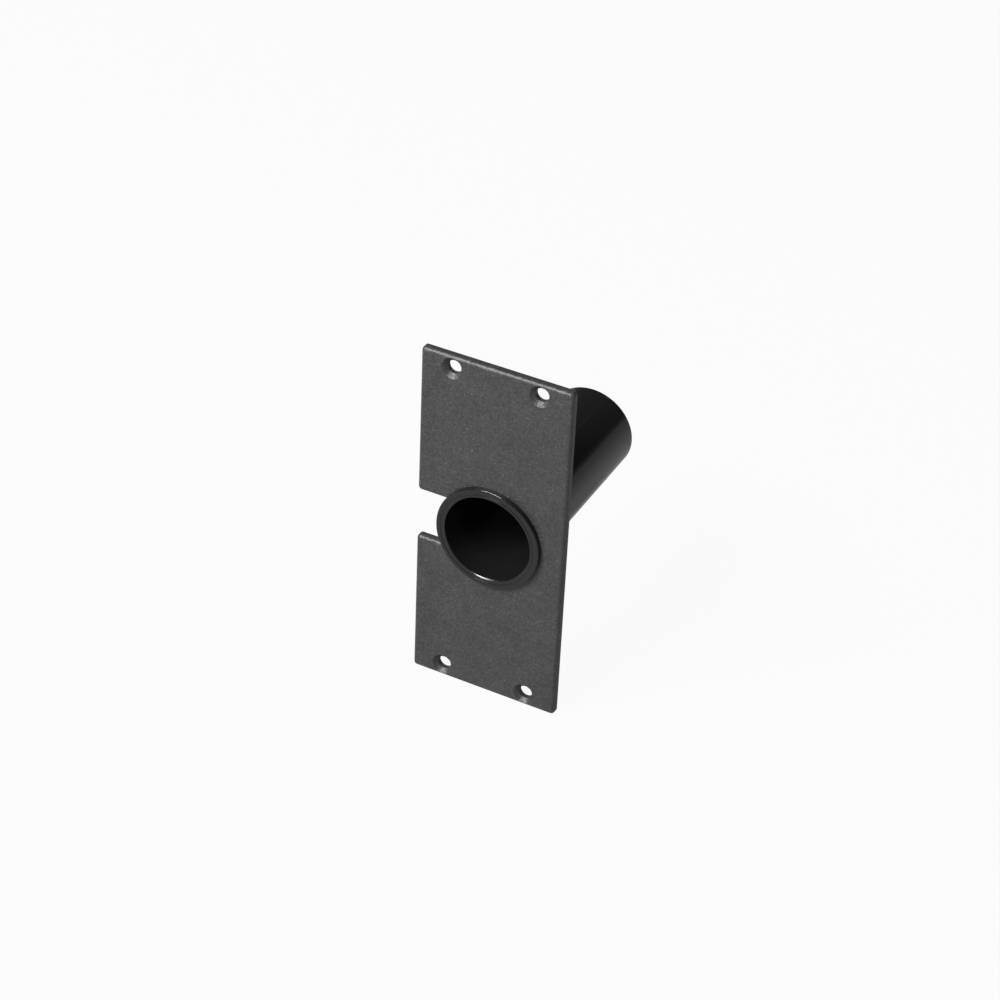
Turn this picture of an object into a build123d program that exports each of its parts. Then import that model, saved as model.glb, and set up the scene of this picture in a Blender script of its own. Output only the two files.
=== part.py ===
from build123d import *
import os
from math import cos, radians, sin

os.makedirs("parts", exist_ok=True)

# A narrow rack panel with a round cable hole that is open to the left edge, and a
# split flanged sleeve that turns in the hole to close it behind a cable.
# Millimetres. X runs along the panel's width, Z up its height, and +Y behind it.
# The origin is on the sleeve's axis, in the back face that lies on the rack's rails.

# Panel: seven pitches wide less some side play, with holes four pitches apart.
rack_pitch = 5.08
panel_pitches = 7
fixing_pitches = 4
width_play = 0.3
fixing_spacing_z = 78.0
fixing_edge_distance = 3.0
panel_thickness = 2.0
front_edge_round = 0.85
back_edge_chamfer = 0.2
corner_extra = 0.05

# Fixing holes for M3 countersunk screws.
fixing_hole_diameter = 3.2
countersink_diameter = 5.0
countersink_angle = 90.0

# Slot from the cable hole to the panel's left edge.
slot_width = 12.0

# Sleeve, from the bore outwards. Its slit lets it be squeezed into the hole, where
# it springs out and stays. The neck is the only round stretch of its outside, and
# behind it the tube narrows by the draft.
bore_diameter = 18.8
back_wall = 0.95
draft_rise = 0.3
running_clearance = 0.05
flange_cover = 1.62

# Sleeve, from the flange's face backwards.
sleeve_length = 50.0
flange_thickness = 1.15
neck_overrun = 0.5
lead_in_depth = 6.0
mouth_flare = 0.85

# Edges of the sleeve.
mouth_chamfer = 0.15
flange_round = 0.3
back_chamfer = 0.2

# Shallow ring groove in the flange's face.
groove_diameter = 22.2
groove_width = 0.4
groove_depth = 0.1

# Slit along the sleeve. The angle is counted from +X towards +Z.
slit_width = 0.05
slit_angle = 69.0

# Worked out from the sizes above.
panel_width = panel_pitches * rack_pitch - width_play
panel_height = fixing_spacing_z + 2 * fixing_edge_distance
fixing_spacing_x = fixing_pitches * rack_pitch
corner_radius = front_edge_round + corner_extra
bore_radius = bore_diameter / 2
tube_back_radius = bore_radius + back_wall
neck_radius = tube_back_radius + draft_rise
cable_hole_radius = neck_radius + running_clearance
flange_radius = cable_hole_radius + flange_cover
flange_back = -(panel_thickness + running_clearance)
flange_face = flange_back - flange_thickness
sleeve_back = flange_face + sleeve_length


def cut_slot_and_round(blank):
    # The slot stops inside the round hole, which is cut later, so that only the
    # outline of the panel and slot is rounded and the hole keeps a sharp seat.
    slot_length = panel_width / 2
    slot = Pos(-slot_length / 2, 0, 0) * Box(slot_length, 2 * panel_thickness, slot_width)
    body = blank - Pos(0, -panel_thickness / 2, 0) * slot
    mouth = [
        edge
        for edge in body.edges().filter_by(Axis.Y)
        if edge.center().X < -panel_width / 4 and abs(edge.center().Z) < slot_width
    ]
    body = fillet(mouth, corner_radius)
    front = body.faces().sort_by(Axis.Y)[0]
    body = fillet(front.edges(), front_edge_round)
    back = body.faces().sort_by(Axis.Y)[-1]
    return chamfer(back.edges(), back_edge_chamfer)


def fixing_hole():
    # One countersunk hole about Y, cut from the front face to behind the back face.
    head_radius = countersink_diameter / 2
    head_slope = radians(countersink_angle / 2)
    hole_radius = fixing_hole_diameter / 2
    head_depth = (head_radius - hole_radius) * cos(head_slope) / sin(head_slope)
    overshoot = panel_thickness
    top_radius = head_radius + overshoot * sin(head_slope) / cos(head_slope)
    outline = Polyline(
        (0, -panel_thickness - overshoot),
        (top_radius, -panel_thickness - overshoot),
        (hole_radius, -panel_thickness + head_depth),
        (hole_radius, overshoot),
        (0, overshoot),
        close=True,
    )
    return revolve(make_face(outline), Axis.Y)


def make_panel():
    outline = RectangleRounded(panel_width, panel_height, corner_radius)
    body = cut_slot_and_round(extrude(Plane.XZ * outline, panel_thickness))
    cable_hole = Rot(90, 0, 0) * Cylinder(cable_hole_radius, 3 * panel_thickness)
    body = body - cable_hole
    places = GridLocations(fixing_spacing_x, fixing_spacing_z, 2, 2)
    for place in places:
        body = body - Pos(place.position.X, 0, place.position.Y) * fixing_hole()
    return body


def sleeve_section():
    # Half section, with the radius along X and the depth along Y.
    mouth_radius = bore_radius + mouth_flare
    section = make_face(
        Polyline(
            (mouth_radius, flange_face),
            (flange_radius, flange_face),
            (flange_radius, flange_back),
            (neck_radius, flange_back),
            (neck_radius, neck_overrun),
            (tube_back_radius, sleeve_back),
            (bore_radius, sleeve_back),
            (bore_radius, flange_face + lead_in_depth),
            close=True,
        )
    )
    mouth = section.vertices().sort_by_distance((mouth_radius, flange_face, 0))[0]
    section = chamfer(mouth, mouth_chamfer)
    rim = section.vertices().sort_by_distance((flange_radius, flange_face, 0))[0]
    section = fillet(rim, flange_round)
    back_corners = section.vertices().group_by(Axis.Y)[-1]
    return chamfer(back_corners, back_chamfer)


def face_groove():
    # A flat-bottomed ring cut into the flange's face.
    middle = groove_diameter / 2
    ring = Pos(middle, flange_face, 0) * Rectangle(groove_width, 2 * groove_depth)
    return revolve(ring, Axis.Y)


def sleeve_slit():
    # A thin slab from the axis out through the wall, along the whole sleeve.
    reach = 2 * flange_radius
    slab = Pos(reach / 2, 0, 0) * Box(reach, 3 * sleeve_length, slit_width)
    return Rot(0, -slit_angle, 0) * slab


def make_sleeve():
    body = revolve(sleeve_section(), Axis.Y)
    return body - face_groove() - sleeve_slit()


export_step(make_panel(), "parts/front_panel.step")
export_step(make_sleeve(), "parts/cable_sleeve.step")
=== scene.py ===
import math

import bpy
from mathutils import Matrix, Vector


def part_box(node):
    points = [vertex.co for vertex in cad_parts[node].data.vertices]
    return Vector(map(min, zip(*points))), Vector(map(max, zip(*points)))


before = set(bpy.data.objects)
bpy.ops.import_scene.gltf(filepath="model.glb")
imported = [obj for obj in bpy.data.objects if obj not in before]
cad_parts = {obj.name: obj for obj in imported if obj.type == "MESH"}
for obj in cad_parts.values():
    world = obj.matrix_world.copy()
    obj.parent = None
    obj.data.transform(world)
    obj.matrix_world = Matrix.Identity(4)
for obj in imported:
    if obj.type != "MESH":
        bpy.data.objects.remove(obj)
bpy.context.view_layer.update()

# Rack cable entry panel, in metres and in the CAD's own frame: X along the panel's
# width, Z up its height and +Y behind it, with the origin on the sleeve's axis.
mm = 0.001
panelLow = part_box("front_panel")[0]
print("frame loaded:", sorted(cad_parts))


def linearFromHex(text):
    channels = []
    for start in (1, 3, 5):
        value = int(text[start:start + 2], 16) / 255
        # the two parts of the sRGB curve
        channels.append(value / 12.92 if value <= 0.04045 else ((value + 0.055) / 1.055) ** 2.4)
    return (*channels, 1.0)


def addNode(tree, kind, settings=None, inputs=None):
    node = tree.nodes.new(kind)
    for name, value in (settings or {}).items():
        setattr(node, name, value)
    for name, value in (inputs or {}).items():
        if isinstance(value, bpy.types.NodeSocket):
            tree.links.new(value, node.inputs[name])
        else:
            node.inputs[name].default_value = value
    return node


def newMaterial(name):
    material = bpy.data.materials.new(name)
    material.use_nodes = True
    material.node_tree.nodes.clear()
    return material, material.node_tree


def dress(piece, material):
    piece.data.materials.clear()
    piece.data.materials.append(material)


# Camera: to the right of the panel's front and above it, rolled a little.
camera = {
    "azimuth": math.radians(26.36),    # from straight in front, to the right
    "elevation": math.radians(35.44),
    "roll": math.radians(2.73),
    "distance": 563.5 * mm,            # from the panel's front face
    "aimRight": 2.31 * mm,             # how far beside the sleeve's axis it looks
    "aimUp": 7.87 * mm,
    "lens": 95.46,
    "sensor": 36.0,
}


def addCamera(setup):
    cosA, sinA = math.cos(setup["azimuth"]), math.sin(setup["azimuth"])
    cosE, sinE = math.cos(setup["elevation"]), math.sin(setup["elevation"])
    cosR, sinR = math.cos(setup["roll"]), math.sin(setup["roll"])
    level = Vector((cosA, sinA, 0))
    back = Vector((sinA * cosE, -cosA * cosE, sinE))
    rise = back.cross(level)
    right = cosR * level + sinR * rise
    up = cosR * rise - sinR * level
    aim = Vector((0, panelLow.y, 0)) + setup["aimRight"] * right + setup["aimUp"] * up
    data = bpy.data.cameras.new("camera")
    data.lens = setup["lens"]
    data.sensor_width = setup["sensor"]
    item = bpy.data.objects.new("camera", data)
    turn = Matrix((right, up, back)).transposed().to_4x4()
    item.matrix_world = Matrix.Translation(aim + setup["distance"] * back) @ turn
    bpy.context.scene.collection.objects.link(item)
    bpy.context.scene.camera = item


addCamera(camera)
print("camera set")


# Studio: a pale floor under the panel's lower edge, one soft wide lamp above the
# front left, and a dim sky with a soft glow near the horizon.
studio = {
    "floorSize": 3.0,
    "floorHex": "#9a9a9a",
    "floorWhite": 0.95,          # how much of the floor the camera sees as plain white
    "floorGloss": 0.26,          # the same for reflections
    "keyFrom": Vector((-0.32, -0.62, 0.71)),
    "keyDistance": 1.1,
    "keyWidth": 0.6,
    "keyHeight": 0.34,
    "keyWatts": 20.0,
    "skyHex": "#ffffff",
    "skyWhite": 0.96,            # what the camera sees above the floor
    "skyGlow": 0.05,             # what lights the object from overhead
    "horizonGlow": 0.38,         # and from low down
    "glowFade": (0.03, 0.19),    # sines of the angles between which it fades
}


def addFloor(setup):
    half = setup["floorSize"] / 2
    corners = ((-half, -half), (half, -half), (half, half), (-half, half))
    mesh = bpy.data.meshes.new("floor")
    mesh.from_pydata([(x, y, panelLow.z) for x, y in corners], [], [(0, 1, 2, 3)])
    floor = bpy.data.objects.new("floor", mesh)
    bpy.context.scene.collection.objects.link(floor)
    material, tree = newMaterial("white paper floor")
    matte = addNode(tree, "ShaderNodeBsdfDiffuse", {}, {
        "Color": linearFromHex(setup["floorHex"])})
    white = addNode(tree, "ShaderNodeEmission")    # its own strength of 1 is white
    path = addNode(tree, "ShaderNodeLightPath")
    mirrored = addNode(tree, "ShaderNodeMath", {"operation": "MAXIMUM"}, {
        0: path.outputs["Is Glossy Ray"], 1: path.outputs["Is Transmission Ray"]})
    mirroredShare = addNode(tree, "ShaderNodeMath", {"operation": "MULTIPLY"}, {
        0: mirrored.outputs[0], 1: setup["floorGloss"]})
    whiteShare = addNode(tree, "ShaderNodeMath", {"operation": "MULTIPLY_ADD"}, {
        0: path.outputs["Is Camera Ray"], 1: setup["floorWhite"],
        2: mirroredShare.outputs[0]})
    blend = addNode(tree, "ShaderNodeMixShader", {}, {
        0: whiteShare.outputs[0], 1: matte.outputs[0], 2: white.outputs[0]})
    addNode(tree, "ShaderNodeOutputMaterial", {}, {"Surface": blend.outputs[0]})
    dress(floor, material)


def addKey(setup):
    lamp = bpy.data.lights.new("key", "AREA")
    lamp.shape = "RECTANGLE"
    lamp.size = setup["keyWidth"]
    lamp.size_y = setup["keyHeight"]
    lamp.energy = setup["keyWatts"]
    item = bpy.data.objects.new("key", lamp)
    direction = setup["keyFrom"].normalized()
    turn = direction.to_track_quat("Z", "Y").to_matrix().to_4x4()
    item.matrix_world = Matrix.Translation(setup["keyDistance"] * direction) @ turn
    bpy.context.scene.collection.objects.link(item)


def addSky(setup):
    world = bpy.data.worlds.new("studio")
    world.use_nodes = True
    tree = world.node_tree
    tree.nodes.clear()
    path = addNode(tree, "ShaderNodeLightPath")
    where = addNode(tree, "ShaderNodeTexCoord")
    height = addNode(tree, "ShaderNodeSeparateXYZ", {}, {"Vector": where.outputs["Generated"]})
    fadeStart, fadeEnd = setup["glowFade"]
    glow = addNode(tree, "ShaderNodeMapRange", {"interpolation_type": "SMOOTHSTEP"}, {
        "Value": height.outputs["Z"], "From Min": fadeStart, "From Max": fadeEnd,
        "To Min": setup["horizonGlow"], "To Max": setup["skyGlow"]})
    level = addNode(tree, "ShaderNodeMapRange", {}, {
        "Value": path.outputs["Is Camera Ray"],
        "To Min": glow.outputs[0], "To Max": setup["skyWhite"]})
    sky = addNode(tree, "ShaderNodeBackground", {}, {
        "Color": linearFromHex(setup["skyHex"]), "Strength": level.outputs[0]})
    addNode(tree, "ShaderNodeOutputWorld", {}, {"Surface": sky.outputs[0]})
    bpy.context.scene.world = world


addFloor(studio)
addKey(studio)
addSky(studio)
bpy.context.scene.view_settings.view_transform = "Standard"
print("studio set")


# Powder coat, sprayed on sheet metal and cured to a fine texture. It gives a dark,
# half dull grey: low soft bumps mottle the light, and this mottle is partly painted
# into the colour as paler bump tops and darker hollows. A few steeper bumps catch the
# light; their glints are painted as pale specks, closer together in some places than
# in others. Real bumps are about 0.3 mm apart. Here a pixel is 0.2 mm, so they are
# drawn coarser than that.
powderCoat = {
    "hex": "#252526",
    # the pale colour carries painted light on the bump tops, as well as the paler patches
    "paleAndLitHex": "#464647",        # the tops of the bumps
    # the specks' colour is a painted glint, where a steep bump catches the light
    "paintedGlintHex": "#727273",
    "roughness": 0.46,
    "ior": 1.6,
    "grain": 0.55,               # mm from bump to bump
    "grainHeight": 0.14,         # mm
    "grainSwirl": 0.3,
    "patch": 6.0,                # mm across a paler or darker patch
    # grainTone and toneShift paint light on the bump tops and painted shade in the hollows
    "grainTone": 1.6,            # how strongly the bumps turn the colour to the pale one
    "patchTone": 0.5,            # the same for the patches
    "toneShift": 0.55,           # taken off both, so that the hollows stay dark
    "speckGap": 0.68,            # mm between the places where a speck may be
    "speckRadius": 0.17,         # mm
    "speckCore": 0.3,            # the share of the radius that is fully pale
    "speckHeight": 0.04,         # mm
    "speckRarity": 1.8,          # more of it leaves fewer bright specks
    "crowdWhere": (0.4, 0.6),    # values of the patches between which specks gather
    "crowdShare": (0.4, 1.5),    # how bright they are apart and gathered
}


def powderCoatMaterial(setup):
    material, tree = newMaterial("textured powder coat")
    where = addNode(tree, "ShaderNodeTexCoord").outputs["Object"]
    grain = addNode(tree, "ShaderNodeTexNoise", {}, {
        "Vector": where, "Scale": 1 / (setup["grain"] * mm), "Distortion": setup["grainSwirl"]})
    patches = addNode(tree, "ShaderNodeTexNoise", {}, {
        "Vector": where, "Scale": 1 / (setup["patch"] * mm)})

    # Specks: painted glints, one dot in each cell, as bright as the cell's random colour
    # and its patch make it. The same dots also raise small bumps.
    cells = addNode(tree, "ShaderNodeTexVoronoi", {}, {
        "Vector": where, "Scale": 1 / (setup["speckGap"] * mm)})
    radius = setup["speckRadius"] / setup["speckGap"]
    dots = addNode(tree, "ShaderNodeMapRange", {"interpolation_type": "SMOOTHSTEP"}, {
        "Value": cells.outputs["Distance"],
        "From Min": radius, "From Max": setup["speckCore"] * radius})
    cellValue = addNode(tree, "ShaderNodeSeparateColor", {}, {"Color": cells.outputs["Color"]})
    rare = addNode(tree, "ShaderNodeMath", {"operation": "POWER"}, {
        0: cellValue.outputs[0], 1: setup["speckRarity"]})
    apartBelow, gatheredAbove = setup["crowdWhere"]
    apart, gathered = setup["crowdShare"]
    crowd = addNode(tree, "ShaderNodeMapRange", {}, {
        "Value": patches.outputs["Fac"], "From Min": apartBelow, "From Max": gatheredAbove,
        "To Min": apart, "To Max": gathered})
    chosen = addNode(tree, "ShaderNodeMath", {"operation": "MULTIPLY"}, {
        0: rare.outputs[0], 1: crowd.outputs[0]})
    specks = addNode(tree, "ShaderNodeMath", {"operation": "MULTIPLY", "use_clamp": True}, {
        0: dots.outputs[0], 1: chosen.outputs[0]})

    # Colour: in a colour mix, inputs 6 and 7 are the two colours and output 2 is
    # the mixed one.
    patchTone = addNode(tree, "ShaderNodeMath", {"operation": "MULTIPLY_ADD"}, {
        0: patches.outputs["Fac"], 1: setup["patchTone"], 2: -setup["toneShift"]})
    tone = addNode(tree, "ShaderNodeMath", {"operation": "MULTIPLY_ADD", "use_clamp": True}, {
        0: grain.outputs["Fac"], 1: setup["grainTone"], 2: patchTone.outputs[0]})
    # painted light and shade: the grain's tone makes the bump tops paler and the hollows
    # darker, over the patches' random tone
    mottleAndBumpLight = addNode(tree, "ShaderNodeMix", {"data_type": "RGBA"}, {
        0: tone.outputs[0],
        6: linearFromHex(setup["hex"]), 7: linearFromHex(setup["paleAndLitHex"])})
    # the specks are painted glints, laid over the mottled colour
    glintSpeckled = addNode(tree, "ShaderNodeMix", {"data_type": "RGBA"}, {
        0: specks.outputs[0],
        6: mottleAndBumpLight.outputs[2], 7: linearFromHex(setup["paintedGlintHex"])})

    grainBump = addNode(tree, "ShaderNodeBump", {}, {
        "Height": grain.outputs["Fac"], "Distance": setup["grainHeight"] * mm})
    speckBump = addNode(tree, "ShaderNodeBump", {}, {
        "Height": specks.outputs[0], "Distance": setup["speckHeight"] * mm,
        "Normal": grainBump.outputs[0]})
    coat = addNode(tree, "ShaderNodeBsdfPrincipled", {}, {
        "Base Color": glintSpeckled.outputs[2], "Roughness": setup["roughness"],
        "IOR": setup["ior"], "Normal": speckBump.outputs[0]})
    addNode(tree, "ShaderNodeOutputMaterial", {}, {"Surface": coat.outputs[0]})
    return material


# Black ABS, moulded in a polished mould. It gives a satin black, whose long soft
# highlights faint waves in the surface break up a little.
sleevePlastic = {
    "hex": "#181819",
    "roughness": 0.18,
    "roughnessSpread": 0.04,     # more and less, over the waves
    "ior": 1.54,
    "wave": 0.5,                 # mm from wave to wave
    "waveRange": (0.3, 0.7),     # the noise's values at their hollows and tops
    "waveHeight": 0.002,         # mm
}


def sleevePlasticMaterial(setup):
    material, tree = newMaterial("moulded black ABS")
    where = addNode(tree, "ShaderNodeTexCoord").outputs["Object"]
    waves = addNode(tree, "ShaderNodeTexNoise", {}, {
        "Vector": where, "Scale": 1 / (setup["wave"] * mm)})
    hollow, top = setup["waveRange"]
    rough = addNode(tree, "ShaderNodeMapRange", {}, {
        "Value": waves.outputs["Fac"], "From Min": hollow, "From Max": top,
        "To Min": setup["roughness"] - setup["roughnessSpread"],
        "To Max": setup["roughness"] + setup["roughnessSpread"]})
    bump = addNode(tree, "ShaderNodeBump", {}, {
        "Height": waves.outputs["Fac"], "Distance": setup["waveHeight"] * mm})
    plastic = addNode(tree, "ShaderNodeBsdfPrincipled", {}, {
        "Base Color": linearFromHex(setup["hex"]), "Roughness": rough.outputs[0],
        "IOR": setup["ior"], "Normal": bump.outputs[0]})
    addNode(tree, "ShaderNodeOutputMaterial", {}, {"Surface": plastic.outputs[0]})
    return material


dress(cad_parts["front_panel"], powderCoatMaterial(powderCoat))
dress(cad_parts["cable_sleeve"], sleevePlasticMaterial(sleevePlastic))
print("materials set")
